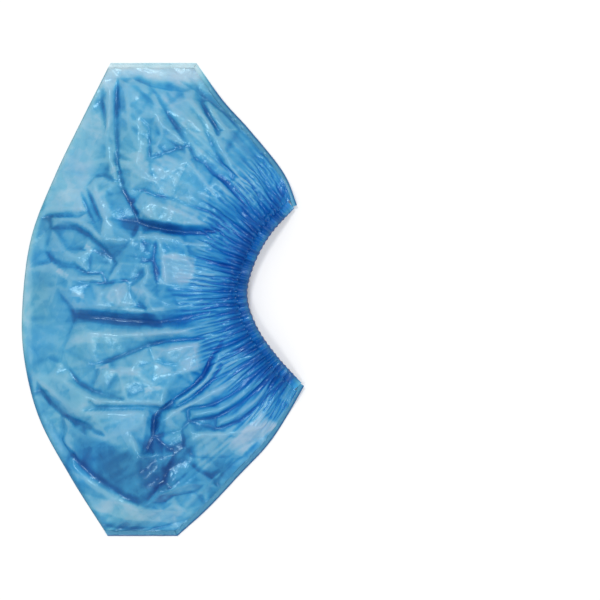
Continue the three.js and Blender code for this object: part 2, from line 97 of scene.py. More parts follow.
# The creases of the two layers, in millimetres: how far the crease stands above the puffed
# form, the line that it follows, how many more thicknesses of film lie folded along it, and
# half the width of that fold. Between creases the film is flat. Where no fold is given, a
# ridge is painted paler along it as a painted highlight and a valley has a narrow fold.
RIDGE_HIGHLIGHT, VALLEY_LAPS = -0.6, 0.7
NARROW_HALF = 1.3
Crease = namedtuple("Crease", "rise line laps half", defaults=(0, 0))
UPPER_CREASES = [Crease(*row) for row in (
    # Toe end
    (-2.5, ((-30, 144), (-30, 130), (-30, 117), (-29, 104), (-28, 92)), 1.6, 2),
    (2, ((-35, 137), (-35, 120), (-36, 106))),
    (-1.5, ((-40, 131), (-37, 112)), 0.8, 1.2),
    (2, ((-24, 140), (-22, 125), (-20, 110))),
    (-1, ((-18, 144), (-8, 140.5), (2, 138), (14, 136)), 1.6, 2.6),
    (-2.5, ((-5, 135), (2, 124), (10, 111), (17, 99.5), (22, 92)), 1.6, 1.9),
    (2, ((-2, 119), (1, 106))),
    (-2, ((-8, 112), (-7, 91)), 1, 1.3),
    (1.5, ((-14, 118), (-13, 96))),
    (3, ((18, 131), (24.5, 122), (31, 113), (36, 104), (41, 94))),
    (-2, ((25, 130), (30, 120), (36, 110)), 2, 2),
    (2.5, ((30, 126), (35, 119), (42, 110))),
    (-1, ((11, 143), (20, 138), (30, 131.5), (42, 120.5), (50, 111.5)), 1.2, 1.6),
    (-2, ((29, 108), (33, 99), (38, 90), (47, 81.5)), 0.9, 1.5),
    (2.5, ((45, 84.5), (50, 79), (56, 73.5))),
    # Between the toe end and the deep fold
    (-2.5, ((22, 91), (28, 88), (34, 81), (43, 74), (51, 64), (56, 55)), 2, 2.2),
    (3, ((18, 89), (24, 80.5), (31, 72), (38, 62))),
    (2, ((37, 77), (42, 69), (46, 60))),
    (2.5, ((-42, 89), (-33, 90), (-30, 83))),
    (2.5, ((-26, 88), (-15, 88))),
    (-1.5, ((-43, 80), (-36, 80), (-29, 76)), 0.9, 1),
    (2.5, ((-17, 83), (-12, 78))),
    (2, ((-8, 80), (-4, 76))),
    (-2.5, ((-28, 90), (-27, 82), (-24, 73)), 1.2, 1.3),
    (-3.5, ((-24, 70), (-19, 61.5), (-15, 54)), 2.6, 1.8),
    (-4, ((-14, 50), (-7, 47.5), (3, 45), (15, 43.5), (28, 43.5), (39, 45)), 3, 3.4),
    (3, ((-12, 57), (-6, 52.5), (2, 49.5), (14, 48.5), (27, 49))),
    (3.5, ((-18, 38.5), (-13, 40.5), (-2, 40.5), (11, 39), (16, 35.5), (33, 35))),
    (-1.5, ((-20, 71), (-11, 70), (-2, 66.5), (7, 64.5)), 1.1, 1.4),
    (2, ((-6, 62), (7, 58), (18, 54))),
    (-1.5, ((20, 60), (32, 56), (42, 51)), 0.9, 1.4),
    (-1.5, ((-53, 70), (-47.5, 57), (-43, 49)), 1.2, 1.1),
    (-1.5, ((-48.5, 72), (-43, 60), (-39, 51)), 1.2, 1.1),
    (2.5, ((-44, 76), (-41, 66), (-36, 52))),
    (2, ((-77, 58.5), (-52, 58.5))),
    (-2, ((-74, 54.5), (-55, 54.5)), 1, 1),
    # Beside the sole fold
    (3, ((-67, 52), (-54, 51), (-46, 46), (-38, 38.5))),
    (-2.5, ((-73, 47), (-56, 46.5), (-46, 41), (-38, 34), (-31, 27)), 1.2, 2.2),
    (3, ((-62, 31), (-58, 28.5), (-54, 26.5))),
    (-1.5, ((-60, 33), (-45, 32), (-40, 29.5), (-29, 24)), 1, 1.4),
    (-2, ((-77, 32), (-72, 25.5), (-66, 23)), 1.1, 1.8),
    (3, ((-72, 21.5), (-66.5, 17.5))),
    (-2, ((-55, 21), (-46, 16.5), (-38, 16.5)), 1.1, 1.2),
    (2.5, ((-58, 13.5), (-44, 13.5))),
    (-1.5, ((-46, 11), (-35, 10.5), (-22, 12), (-14, 14)), 1.1, 1.2),
    (2.5, ((-68, 8.5), (-60, 6))),
    (1.5, ((-26, 23), (-14, 23))),
    (3, ((-28, 7), (-26, -3))),
    (-1.5, ((-20, 7), (-16.5, 0), (-13, -4)), 0.8, 1.8),
    (3, ((-12, 9), (-8, 3), (-1, 0))),
    (2.5, ((-38.5, 5), (-40, -3))),
    # The bright square and what lies round it
    (3.5, ((1.5, 28), (18, 25))),
    (-1.5, ((-4.5, 25), (-2, 9)), 1.4, 1.5),
    (-1.5, ((3.5, 9), (18, 9))),
    (2, ((-9, 22), (-8, 16))),
    (-2, ((22, 27), (34, 24), (46, 22)), 1.2, 1.6),
    (2, ((24, 18), (44, 14))),
    (-1.5, ((8, 3), (24, 1), (44, 2)), 1, 1.6),
    # The dark band and the long crease below it
    (-3.5, ((-55, -10.5), (-40, -11.5), (-21, -13.5), (-2, -14.5), (16, -12), (34, -7)), 1.6, 5.6),
    (2, ((-55, -4), (-30, -5.5), (-8, -7.5), (12, -5), (30, -2))),
    (3.5, ((-46, -22), (-28, -23), (-8, -22.5), (14, -20.5), (30, -15))),
    (-3, ((-41, -43), (-33, -39.5), (-24, -36), (-8, -29.5), (5, -26.5), (28, -25)), 1.6, 2),
    (4, ((-35.5, -45.5), (-27, -46.5), (-19, -46), (-11, -51), (-4, -55.5), (4, -57))),
    (2.5, ((2, -33), (22, -29.5), (24, -45))),
    (-1, ((-4, -40), (10, -42)), 0.5, 2),
    (2.5, ((10, -47), (18, -46))),
    # Heel side, beside the sole fold
    (3.5, ((-83, -51), (-78, -55.5), (-73, -58.5), (-67, -63.5), (-59, -69), (-53, -73))),
    (-2.5, ((-80, -60), (-73, -68), (-65, -75), (-57, -79), (-50, -81)), 1.5, 2.3),
    (3.5, ((-70, -50), (-63, -53), (-57, -57.5), (-47, -62.5), (-42, -65.5), (-21, -66))),
    (3.5, ((-21, -66), (-8, -66.5), (1, -67.5))),
    (-2, ((-60, -45), (-54, -53.5), (-44, -58.5), (-36, -61)), 1.2, 1.5),
    (-1.5, ((-42, -69.5), (-20, -69.5), (-9, -69.5)), 0.8, 1.2),
    (2.5, ((-43, -73.5), (-21, -73), (-10, -72.5))),
    (-1, ((-74, -38), (-66, -40), (-64, -32)), 0.6, 2),
    (4, ((-59, -83), (-55, -85.5), (-49, -89.5))),
    (2.5, ((-64, -93.5), (-57, -98.5))),
    (2, ((-45, -95), (-34, -89), (-20, -84.5), (-11, -79))),
    # The strong dark fold from the mouth, and the ridges that go with it
    (-4.5, ((40, -26), (35, -34), (31, -41), (27, -49), (21, -55.5), (8, -64.5)), 2.8, 1.8),
    (-4.5, ((8, -64.5), (1, -70.5), (-4, -76), (-4.5, -82), (-5, -89), (-9, -97)), 2.8, 2.6),
    (3.5, ((38, -38), (34, -45), (27, -54.5), (18, -61), (12, -65))),
    (-2.5, ((40, -42), (34, -51), (26, -58), (18, -64.5), (10, -69)), 1.6, 1.2),
    (3.5, ((1, -78), (10, -71.5), (19, -67.5), (28, -63), (41, -56.5), (51, -49))),
    (-2.5, ((18, -70.5), (34, -67.5), (45, -61.5), (54, -55.5), (63, -50), (71, -43)), 1.8, 1.9),
    (2.5, ((22, -74), (38, -71), (48, -65), (58, -57), (67, -52))),
    (-2.5, ((18, -78.5), (36, -75.5), (51, -67.5), (61, -60), (69, -55), (74, -50)), 1.6, 1.7),
    (2, ((38, -80), (50, -74), (60, -66), (69, -59.5))),
    (-2, ((36, -83), (50, -79), (60, -71), (68, -64), (73, -59.5)), 1.3, 1.5),
    (1.5, ((54, -81), (63, -73), (72, -64.5))),
    (-1.5, ((45, -32.5), (53, -33), (61, -32)), 1, 1.2),
    (2.5, ((42, -43), (52, -37.5), (60, -37))),
    (-2, ((47, -48), (58, -42), (66, -37.5)), 1.4, 1.3),
    # Heel end
    (2.5, ((20, -86), (44, -87))),
    (-2, ((22, -102), (42, -102.5))),
    (3.5, ((48.5, -86), (66, -83), (68, -77))),
    (-1, ((46, -99), (53, -95.5), (63, -91.5))),
    (-2, ((17, -104), (24, -111), (32, -116), (39, -111), (46, -104.5)), 1.5, 1.6),
    (-2.5, ((13.5, -84), (14.5, -94), (9, -99), (5, -108), (1.5, -117), (-9, -128)), 1.4, 1.5),
    (2, ((-13, -101), (-2, -100))),
    (-1, ((-11, -110), (-1, -110))),
    (2.5, ((-7, -131), (-2, -125.5), (8, -122.5), (19, -119), (29, -119.5))),
    (-1.5, ((2, -131), (8, -127), (22, -125)), 1, 1.2),
    (2, ((8, -134), (14, -138))),
    (-2, ((-66, -91), (-60, -101), (-53, -108), (-44, -115.5), (-34, -121)), 1.5, 2.2),
    (-2, ((-34, -121), (-24, -127.5), (-14, -131)), 1.5, 2.2),
    (2.5, ((-58, -110), (-46, -121), (-32, -129), (-16, -135.5), (0, -137))),
    (-1, ((-40, -148), (-20, -149.5), (0, -149), (6, -147)), 1.3, 2.5),
)]
LOWER_CREASES = [Crease(*row) for row in (
    (1.5, ((-70, 45), (-30, 70), (0, 64), (40, 78)), 0.6, 1.5),
    (1.8, ((-28, 128), (0, 112), (24, 84)), 0.6, 1.5),
    (1.4, ((-62, -38), (-20, -50), (10, -30), (44, -34)), 0.5, 1.5),
    (1.8, ((52, -46), (20, -76), (-12, -84), (-48, -90)), 0.6, 1.5),
    (1.5, ((-34, -122), (-4, -112), (18, -124)), 0.5, 1.5),
    (1.3, ((-78, 8), (-40, 2), (0, 10), (34, 14)), 0.5, 1.5),
)]

# Wider places where more of the film lies, and places painted paler, among them painted
# highlights and glints on facets that catch the light: middle, half length and half width in
# millimetres, turn in degrees, the thicknesses of film that it adds (below 0 where it is
# painted paler), and how far its edge fades
PLAIN_FADE = 0.35
Patch = namedtuple("Patch", "x y long wide turn laps fade", defaults=(PLAIN_FADE,))
PATCHES = [Patch(*row) for row in (
    (-10, 161, 60, 22, 0, -2.9, 0.9),
    (83, -61, 7, 4, 62, -1.8),
    (82, 66, 7, 3, 60, -1),
    (-52, 96, 36, 14, 66, -0.8, 0.6),
    (-6, 122, 14, 12, -50, -0.3),
    (20, 115, 22, 8, -58, -0.4),
    (0, 80, 26, 10, -20, -0.3),
    (8, 57, 20, 7, -20, -0.5),
    (-4, 47, 20, 4, -8, 1.2),
    (-62, 64, 14, 8, 0, -0.6),
    (-24, 55, 8, 22, 10, 0.6),
    (-22, 30, 22, 7, 0, 0.7),
    # Painted highlights on flat facets that catch the light
    (10, 18, 11, 10, -8, -1.5),
    (-23, 3, 10, 8, -30, -1),
    (-66, -8, 22, 30, 0, 0.2),
    (-30, -12, 30, 4, -3, 1.1),
    # A long bright band, a painted highlight
    (-16, -23, 38, 4, 2, -0.5),
    (12, -38, 16, 9, 8, -0.8),
    # A painted glint
    (-22, -46, 10, 3, 0, -0.6),
    (-30, -72, 26, 5, 0, -0.3),
    (-3, -84, 12, 6, 80, 1.2),
    (-28, -110, 34, 15, -22, 1.3),
    (4, -96, 14, 9, 60, 0.4),
    (6, -106, 18, 15, 0, 1.2),
    (-5, -107, 6, 4, 0, -0.9),
    (31, -95, 14, 9, 0, -0.3),
    (36, -115, 16, 9, 40, 0.7),
    # A bright facet, a painted highlight
    (58, -88, 14, 7, 40, -2.2),
    (30, -78, 20, 8, 12, 0.5),
    (44, 42, 14, 22, 0, 0.7),
    (-14, 18, 30, 26, 0, 0.35, 0.9),
    (-22, -13, 42, 5, -3, 0.5),
    (-24, -137, 34, 5, -10, -0.8),
    (74, -84, 16, 3, 50, -0.9),
    (-89, 15, 4.5, 70, 0, -0.7, 0.9),
    (-76, 85, 4.5, 45, -24, -0.6, 0.9),
    # Small painted glints
    (-47, 33, 3, 2, -30, -1.4),
    (-64, 17, 4, 1.6, -35, -1.2),
    (-53, 3, 4, 1.4, -10, -1.1),
    (-30, 84, 3, 1.8, 20, -1),
    (-4, -57, 6, 1.6, 10, -1),
    (-38, -43, 5, 1.6, 5, -1.1),
    (-10, -152, 40, 3.5, 0, 1, 0.9),
)]


def smooth(x):
    x = np.clip(x, 0, 1)
    return x * x * (3 - 2 * x)


def neighbours(grid):
    """The sum of the four neighbours of each inner point of a grid."""
    return grid[:-2, 1:-1] + grid[2:, 1:-1] + grid[1:-1, :-2] + grid[1:-1, 2:]


# Curves in plan


def curve(table, steps=30):
    """Centripetal Catmull-Rom curve through a table of shares, as a dense line of points."""
    knots = np.array(table) * (WIDTH, LENGTH)
    knots = np.vstack([2 * knots[0] - knots[1], knots, 2 * knots[-1] - knots[-2]])
    line = []
    for p0, p1, p2, p3 in zip(knots, knots[1:], knots[2:], knots[3:]):
        t0 = 0.0
        t1 = t0 + np.linalg.norm(p1 - p0) ** 0.5
        t2 = t1 + np.linalg.norm(p2 - p1) ** 0.5
        t3 = t2 + np.linalg.norm(p3 - p2) ** 0.5
        u = np.linspace(t1, t2, steps, endpoint=False)[:, None]

        def mix(a, b, start, end):
            return ((end - u) * a + (u - start) * b) / (end - start)

        a1, a2, a3 = mix(p0, p1, t0, t1), mix(p1, p2, t1, t2), mix(p2, p3, t2, t3)
        line.append(mix(mix(a1, a2, t0, t2), mix(a2, a3, t1, t3), t1, t2))
    line.append(knots[-2][None])
    return np.vstack(line)


def lengths_along(line):
    return np.concatenate([[0], np.cumsum(np.linalg.norm(np.diff(line, axis=0), axis=1))])


def resample(line, count):
    """The same line with its points at even steps."""
    at = lengths_along(line)
    even = np.linspace(0, at[-1], count)
    return np.stack([np.interp(even, at, line[:, k]) for k in range(line.shape[1])], axis=1)


def directions(line):
    step = np.gradient(line, axis=0)
    return step / np.linalg.norm(step, axis=1)[:, None]


def inwards(line, distance, reach=12 * MM):
    """The line moved to its left, and lengthened at both ends so that neighbours cross."""
    step = directions(line)
    moved = line + distance * np.stack([-step[:, 1], step[:, 0]], axis=1)
    return np.vstack([moved[0] - reach * step[0], moved, moved[-1] + reach * step[-1]])


def crossing(a, b):
    """Where two lines cross: the step of each that holds the point, and the point."""
    da, db = np.diff(a, axis=0)[:, None], np.diff(b, axis=0)[None]
    gap = b[None, :-1] - a[:-1, None]
    sine = da[..., 0] * db[..., 1] - da[..., 1] * db[..., 0]
    sine = np.where(sine == 0, 1e-15, sine)
    s = (gap[..., 0] * db[..., 1] - gap[..., 1] * db[..., 0]) / sine
    t = (gap[..., 0] * da[..., 1] - gap[..., 1] * da[..., 0]) / sine
    i, j = np.argwhere((s >= 0) & (s <= 1) & (t >= 0) & (t <= 1))[-1]
    return i, j, a[i] + s[i, j] * (a[i + 1] - a[i])


def outline_lines(weld_inset, mouth_inset):
    """The six stretches of the outline, moved inwards and trimmed where they meet."""
    insets = (weld_inset, mouth_inset, weld_inset, weld_inset, 0, weld_inset)
    lines = [inwards(curve(table), inset) for table, inset in zip(OUTLINE, insets)]
    count = len(lines)
    meets = [crossing(lines[k], lines[(k + 1) % count]) for k in range(count)]
    trimmed = []
    for k in range(count):
        _, first, start = meets[k - 1]
        last, _, end = meets[k]
        trimmed.append(np.vstack([start, lines[k][first + 1:last + 1], end]))
    return trimmed


def film_plan(columns, rows):
    """Plan points of one film layer, [column][row] from heel to toe and fold to mouth."""
    heel, mouth, toe, toe_end, fold, heel_end = outline_lines(WELD_WIDTH - LAP, HEM_WIDTH - LAP)
    bottom = np.vstack([heel_end[::-1], fold[::-1][1:], toe_end[::-1][1:]])
    bottom, top = resample(bottom, columns + 1), resample(mouth, columns + 1)
    left, right = resample(heel, rows + 1), resample(toe[::-1], rows + 1)
    s = np.linspace(0, 1, columns + 1)[:, None, None]
    t = np.linspace(0, 1, rows + 1)[None, :, None]
    return (
        (1 - t) * bottom[:, None] + t * top[:, None] + (1 - s) * left[None] + s * right[None]
        - (1 - s) * ((1 - t) * left[0] + t * left[-1]) - s * ((1 - t) * right[0] + t * right[-1])
    )


# Patterns, all from fixed seeds


def noise(x, y, seed, octaves=1):
    """Smooth noise from -1 to 1 at a grid of places."""
    total, share = 0, 0
    for octave in range(octaves):
        table = np.random.default_rng(seed + octave).uniform(-1, 1, (64, 64))
        xs, ys = x * 2 ** octave, y * 2 ** octave
        i, j = np.floor(xs).astype(int), np.floor(ys).astype(int)
        u, v = smooth(xs - i), smooth(ys - j)
        a = table[i % 64, j % 64] * (1 - u) + table[(i + 1) % 64, j % 64] * u
        b = table[i % 64, (j + 1) % 64] * (1 - u) + table[(i + 1) % 64, (j + 1) % 64] * u
        total = total + (a * (1 - v) + b * v) / 1.6 ** octave
        share += 1 / 1.6 ** octave
    return total / share


def spots(x, y, size, seed, octaves=1):
    """Smooth noise over places in plan, with its size in millimetres."""
    return noise(x / (size * MM), y / (size * MM), seed, octaves)


def shards(x, y, size, seed):
    """A net of flat even triangles with random corners: height and tone, from -1 to 1."""
    rng = np.random.default_rng(seed)
    corner, tones = rng.uniform(-1, 1, (64, 64)), rng.uniform(-1, 1, (64, 64, 2))
    turn = rng.uniform(0, math.pi)
    u = (x * math.cos(turn) + y * math.sin(turn)) / size
    v = (y * math.cos(turn) - x * math.sin(turn)) / size
    a, b = u - v / math.sqrt(3), 2 * v / math.sqrt(3)
    i, j = np.floor(a).astype(int), np.floor(b).astype(int)
    p, q = a - i, b - j
    far = p + q > 1
    first = np.where(far, corner[(i + 1) % 64, (j + 1) % 64], corner[i % 64, j % 64])
    next_a = np.where(far, corner[i % 64, (j + 1) % 64], corner[(i + 1) % 64, j % 64])
    next_b = np.where(far, corner[(i + 1) % 64, j % 64], corner[i % 64, (j + 1) % 64])
    p, q = np.where(far, 1 - p, p), np.where(far, 1 - q, q)
    height = first + p * (next_a - first) + q * (next_b - first)
    return height, tones[i % 64, j % 64, far.astype(int)]


def crumple(x, y, size, seed):
    """Flat facets of many shapes, as crumpled film has: height and tone, from -1 to 1."""
    bend_x, _ = shards(x, y, 2.3 * size, seed + 1)
    bend_y, _ = shards(x, y, 2.3 * size, seed + 2)
    return shards(x + 0.7 * size * bend_x, y + 0.7 * size * bend_y, size, seed)


def gathers(s, t, kind, seed):
    """One kind of pleats: a zigzag along the mouth that wanders."""
    phase = s + 0.012 * noise(s * 9, t * 2, seed) + 0.02 * noise(s * 4 + 7, t * 3, seed + 50)
    wave = 2 * np.abs(2 * (kind.count * phase - np.floor(kind.count * phase + 0.5))) - 1
    envelope = smooth(1 - np.abs(t - kind.centre) / kind.reach)
    ends = smooth(s / TAB_REACH) * smooth((1 - s) / TAB_REACH)
    return kind.height * MM * envelope * ends * wave * (0.75 + 0.25 * noise(s * 30, t, seed + 9))


def facets_between(x, y, creases, rim, seed):
    """Flat facets of film between the creases and the rim of the layer: height, and tone."""
    spots = [(*point, 0.0) for point in rim]
    lines = []
    for crease in creases:
        first = len(spots)
        spots += [(a * MM, b * MM, crease.rise * MM) for a, b in crease.line]
        lines += [(k, k + 1) for k in range(first, len(spots) - 1)]
    corners = [Vector((a, b)) for a, b, _ in spots]
    found, _, faces, origins, _, _ = geometry.delaunay_2d_cdt(corners, lines, [], 0, 1e-6)
    place = np.array([tuple(corner) for corner in found])
    known = np.array([np.mean([spots[k][2] for k in came]) if came else np.nan for came in origins])
    for k in np.flatnonzero(np.isnan(known)):
        ring = {v for face in faces if k in face for v in face}
        known[k] = np.nanmean([known[v] for v in ring])
    z, tone = np.zeros_like(x), np.zeros_like(x)
    rng = np.random.default_rng(seed)
    for a, b, c in faces:
        (xa, ya), (xb, yb), (xc, yc) = place[a], place[b], place[c]
        area = (xb - xa) * (yc - ya) - (xc - xa) * (yb - ya)
        if abs(area) < 1e-12:
            continue
        share_b = ((x - xa) * (yc - ya) - (xc - xa) * (y - ya)) / area
        share_c = ((xb - xa) * (y - ya) - (x - xa) * (yb - ya)) / area
        inside = (share_b >= -1e-9) & (share_c >= -1e-9) & (share_b + share_c <= 1 + 1e-9)
        height = known[a] + share_b * (known[b] - known[a]) + share_c * (known[c] - known[a])
        z[inside] = height[inside]
        tone[inside] = rng.uniform(-1, 1)
    return z, tone


def laps_along(x, y, creases):
    """Extra thicknesses of film folded along the creases, and painted highlights along bare ridges."""
    thick, thin = np.zeros_like(x), np.zeros_like(x)
    for crease in creases:
        laps = crease.laps or (RIDGE_HIGHLIGHT if crease.rise > 0 else VALLEY_LAPS)
        line = np.array(crease.line) * MM
        at = lengths_along(line)
        near, along, side = np.full(x.shape, 1.0), np.zeros_like(x), np.zeros_like(x)
        for k, (start, end) in enumerate(zip(line, line[1:])):
            run = end - start
            dx, dy = x - start[0], y - start[1]
            share = np.clip((dx * run[0] + dy * run[1]) / (run @ run), 0, 1)
            away = np.hypot(dx - share * run[0], dy - share * run[1])
            closer = away < near
            near = np.where(closer, away, near)
            along = np.where(closer, (at[k] + share * (at[k + 1] - at[k])) / at[-1], along)
            side = np.where(closer, dx * run[1] - dy * run[0], side)
        taper = np.sin(math.pi * np.clip(along, 0, 1)) ** 0.5
        half = (crease.half or NARROW_HALF) * MM * (0.4 + 0.6 * taper)
        half = half * (1 + 0.25 * spots(x, y, 5, 88))
        sharp = 1 - smooth((near - 0.4 * half) / (0.5 * half))
        faded = 1 - smooth((near - 0.3 * half) / (2.2 * half))
        body = np.where(side > 0, sharp, faded)
        strength = (0.35 + 0.65 * taper) * (0.85 + 0.3 * noise(along * 7 + at[-1] * 99, 0 * along, 90))
        thick = np.maximum(thick, laps * body * strength)
        # Below 0 only along ridges without a fold: painted highlights
        thin = np.minimum(thin, laps * body * strength)
    return thick + thin


def patch_laps_and_highlights(x, y):
    """Extra thicknesses of film over the wider patches, and less over the pale ones, painted highlights
    among them.
    """
    total = np.zeros_like(x)
    for patch in PATCHES:
        turn = math.radians(patch.turn)
        dx, dy = x - patch.x * MM, y - patch.y * MM
        u = (dx * math.cos(turn) + dy * math.sin(turn)) / (patch.long * MM)
        v = (dy * math.cos(turn) - dx * math.sin(turn)) / (patch.wide * MM)
        wobble = 0.22 * spots(x, y, 9, 77)
        total += patch.laps * smooth((1.15 + wobble - np.maximum(np.abs(u), np.abs(v))) / patch.fade)
    return total


# Shape of the film

# Pleats of the film, from wide to fine: how many, where they stand highest and how far they
# reach on the way from the fold (0) to the mouth (1), and their height in millimetres
Gathers = namedtuple("Gathers", "count centre reach height")
WIDE_GATHERS = Gathers(15, 0.8, 0.6, 3.0)
NARROW_GATHERS = Gathers(21, 0.9, 0.3, 1.3)
HEM_GATHERS = Gathers(38, 1.0, 0.2, 1.5)

# The finer crumpling: size and height of its facets in millimetres, and their seed
CRUMPLES = ((24, 2.2, 41), (12, 0.95, 51), (7, 0.35, 61))
STREAK_HEIGHT = 1.5 * MM

# Steps between the places where the facets reach the fold, the mouth and each end
FOLD_STOPS, MOUTH_STOPS, END_STOPS = 26, 14, 9

# How much of the upper layer's crumpling and gathering the lower layer has
LOWER_CRUMPLING = 0.3
LOWER_GATHERING = 0.35

# The hem: what its half thickness leaves to the ruffles, how far above its middle the film
# lies on it, how much of the ruffles the film's rim follows, how much of its thickness is
# pressed out at the corners of the mouth, and the share of the mouth that such a corner takes
HEM_SPARE = 0.45 * MM
RIM_RISE = 1.15 * MM
RIM_FOLLOWS = 0.93
PRESSED = 0.75
TAB_REACH = 0.07

# How far the gathers move the hem's edge to and fro in plan
EDGE_WAVE = 0.35 * MM

# Rounds of relaxing from the coarsest grid to the finest
ROUNDS = (240, 120, 40)

# Rounds of softening at the end, and how far each one goes
SOFTENING_ROUNDS = 2
SOFTENING = 0.6


def hem_opening(s):
    return HEM_GAP + (MOUTH_GAP - HEM_GAP) * smooth(s / 0.2) * smooth((1 - s) / 0.2)


def tab_share(s):
    """1 at the corners of the mouth, where the hems are pressed flat, and 0 past the tabs."""
    return np.clip(1 - smooth(np.minimum(s, 1 - s) / TAB_REACH), 0, 1)


def hem_centre(s, upper):
    """Height of the middle of a hem along the mouth."""
    free = HEM_THICK * 1.5 + hem_opening(s) if upper else HEM_THICK / 2 + 0 * s
    pressed = TAB_HEIGHT + (0.35 if upper else -0.35) * MM
    return free + (pressed - free) * tab_share(s)


def ruffle(s, upper, t=1.0):
    """Height of the fine gathers along the hem."""
    return gathers(s, t + 0 * s, HEM_GATHERS, 23 if upper else 31)


def hem_wave(s, upper, inset):
    """Height of the gathers this far in from the hem's edge, where they are lowest."""
    return ruffle(s, upper)[:, None] * (0.55 + 0.45 * inset / HEM_WIDTH)


def rim_height(s, upper):
    """Height at which the film lies on the outer side of its hem."""
    above = (RIM_RISE if upper else -RIM_RISE) * (1 - PRESSED * tab_share(s))
    return hem_centre(s, upper) + above


def seam_height(t):
    """Height of the end seams, which rise at the mouth to meet between the hems."""
    return EDGE_HEIGHT + (TAB_HEIGHT - EDGE_HEIGHT) * smooth((t - 0.82) / 0.18)


class Layer:
    """The places of one film layer's grid, and the heights it settles towards."""

    def __init__(self, columns, rows, upper):
        self.plan = film_plan(columns, rows)
        self.upper = upper
        self.creases = UPPER_CREASES if upper else LOWER_CREASES
        self.s = np.linspace(0, 1, columns + 1)[:, None] + np.zeros((1, rows + 1))
        self.t = np.linspace(0, 1, rows + 1)[None, :] + np.zeros((columns + 1, 1))
        self.x, self.y = self.plan[..., 0], self.plan[..., 1]
        self.to_mouth = np.linalg.norm(self.plan - self.plan[:, -1:], axis=-1)
        self.to_fold = np.linalg.norm(self.plan - self.plan[:, :1], axis=-1)
        to_end = np.minimum(
            np.linalg.norm(self.plan - self.plan[:1], axis=-1),
            np.linalg.norm(self.plan - self.plan[-1:], axis=-1),
        )
        near_rim = smooth(1 - self.to_mouth / (2 * HEM_WIDTH))
        self.parted = (smooth(to_end / END_RISE) * smooth(self.to_fold / FOLD_RISE)) ** DOME_POWER
        self.to_edge = np.minimum(to_end, self.to_fold)
        self.free = smooth(self.to_edge / (6 * MM)) * (1 - near_rim)
        self.far = smooth((self.to_mouth - 16 * MM) / (42 * MM))
        rim = rim_height(self.s, upper)
        if upper:
            sink = smooth(1 - self.to_mouth / FOLD_RISE)
            crown = POUCH_HEIGHT * (1 - sink) + rim * sink
            domed = EDGE_HEIGHT + (crown - EDGE_HEIGHT) * self.parted
        else:
            domed = EDGE_HEIGHT * (1 - 0.6 * self.parted)
        self.base = domed * (1 - near_rim) + rim * near_rim
        ends = smooth(1 - to_end / (12 * MM))
        self.base = self.base * (1 - ends) + seam_height(self.t) * ends

    def creased(self):
        """The settled form with its creases: flat facets, and finer crumpling on them."""
        z, _ = self.facets()
        fine, _ = self.crumpled()
        share = 1.0 if self.upper else LOWER_CRUMPLING
        edge = smooth(self.to_edge / (5 * MM))
        return self.base + (z + share * fine * self.parted ** 0.25) * edge * (self.free > 0)

    def crumpled(self):
        """The finer crumpling of this layer, in three sizes: height and tone."""
        calm = 0.75 + 0.5 * spots(self.x, self.y, 40, 47)
        height, tone = 0, 0
        for size, rise, seed in CRUMPLES:
            level, shade = crumple(self.x, self.y, size * MM, seed if self.upper else seed + 200)
            height = height + calm * (rise * MM) * level
            tone = tone + shade / len(CRUMPLES)
        beside_seams = 0.3 + 0.7 * smooth(1 - np.minimum(self.s, 1 - self.s) / 0.35)
        streaks = noise(self.s * 63, self.t * 2.5, 81 if self.upper else 91, 2)
        return height + STREAK_HEIGHT * beside_seams * streaks, tone

    def facets(self):
        """The facets between this layer's creases and a few places on the rim of its grid."""
        columns, rows = self.plan.shape[0] - 1, self.plan.shape[1] - 1
        rim = [self.plan[round(columns * k / FOLD_STOPS), 0] for k in range(FOLD_STOPS + 1)]
        rim += [self.plan[round(columns * k / MOUTH_STOPS), rows] for k in range(MOUTH_STOPS + 1)]
        for i in (0, columns):
            rim += [self.plan[i, round(rows * k / END_STOPS)] for k in range(1, END_STOPS)]
        return facets_between(self.x, self.y, self.creases, rim, 61 if self.upper else 62)

    def pin(self, points):
        """Puts the edges of a grid of points at the fold, the seams and the hem."""
        points[0, :, :2], points[-1, :, :2] = self.plan[0], self.plan[-1]
        points[:, 0, :2], points[:, -1, :2] = self.plan[:, 0], self.plan[:, -1]
        points[0, :, 2] = points[-1, :, 2] = seam_height(self.t[0])
        points[:, 0, 2] = EDGE_HEIGHT
        s = self.s[:, -1]
        rim = rim_height(s, self.upper) + RIM_FOLLOWS * ruffle(s, self.upper)
        points[:, -1, 2] = np.maximum(rim, LOWEST)

    def settle(self, points, share):
        """Draws the film away from the mouth back towards its creased form."""
        hold = (share * self.far)[..., None]
        points += hold * (np.dstack([self.plan, self.creased()]) - points)

    def rests(self, hidden):
        """Rest lengths of the film's steps, less the share that lies hidden in small folds."""
        along = np.linalg.norm(np.diff(self.plan, axis=0), axis=-1)
        across = np.linalg.norm(np.diff(self.plan, axis=1), axis=-1)
        spare = np.maximum(BLANK_LENGTH / len(along) - along, 0)
        away = (self.far[1:] + self.far[:-1]) / 2
        along = along + spare * (1 - hidden(self.t[:1])) * (1 - 0.8 * away)
        deep = np.maximum(BLANK_DEPTH / across.shape[1] - across, 0)
        from_seam = smooth(np.minimum(self.s, 1 - self.s)[:, 1:] / 0.3)
        across = across + 0.25 * deep * from_seam
        return along[..., None], across[..., None]


def alternate(count):
    """Two sets of neighbour pairs along an axis, so that no point is in a set twice."""
    return [(slice(q, count - 1, 2), slice(q + 1, count, 2)) for q in (0, 1)]


def pull_together(points, weight, a, b, rest, hold, push):
    """Moves the points of many pairs towards their rest distance."""
    pa, pb = points[a], points[b]
    step = pb - pa
    length = np.sqrt((step * step).sum(-1, keepdims=True)) + 1e-12
    spare = length - rest
    firm = np.where(spare > 0, hold, push)
    wa, wb = weight[a], weight[b]
    move = step * (firm * spare / length / (wa + wb + 1e-9))
    points[a] = pa + wa * move
    points[b] = pb - wb * move


